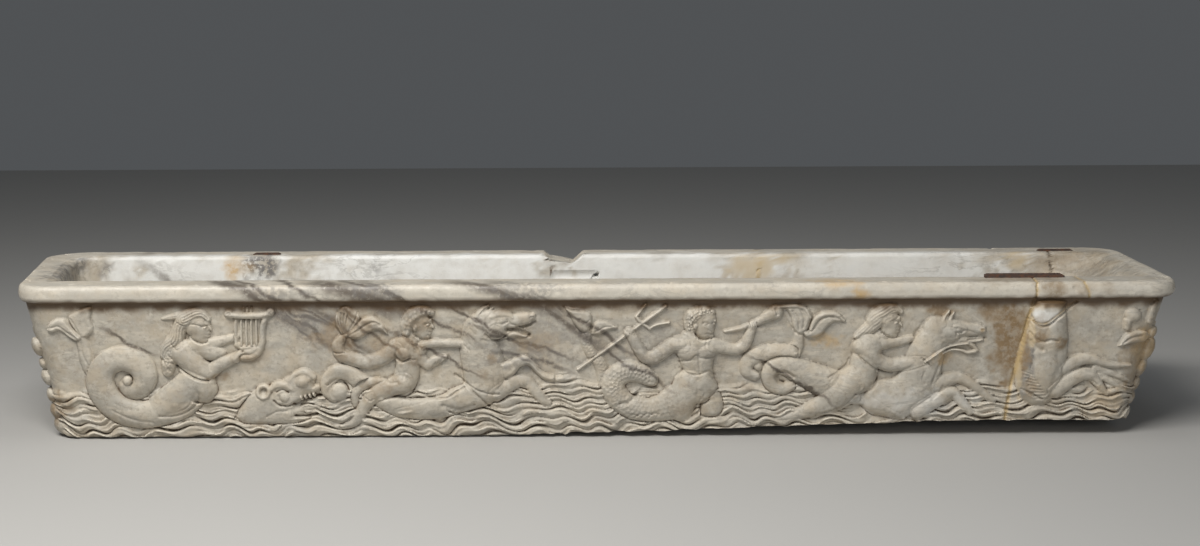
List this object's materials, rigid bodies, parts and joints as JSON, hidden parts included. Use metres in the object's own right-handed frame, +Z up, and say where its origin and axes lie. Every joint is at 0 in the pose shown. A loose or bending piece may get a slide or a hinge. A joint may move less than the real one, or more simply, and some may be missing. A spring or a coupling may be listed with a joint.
{
  "type": "marble basin",
  "caption": "Long carved marble trough with a half-round lip, a sea procession in relief on its wall, waves at its foot and old iron cramps in its rim.",
  "frame": {"origin": "on the ground under the middle of the basin", "axes": "+X along the basin, the carved front faces -Y, +Z up"},
  "size_m": [2.3822, 0.537, 0.324],
  "materials": {
    "marble": "worn and weathered, veined",
    "iron": "rusted"
  },
  "bodies": {
    "root": {"basin": "marble", "iron_cramp_front": "iron", "iron_cramp_back_right": "iron", "iron_cramp_back_left": "iron"}
  },
  "joints": []
}
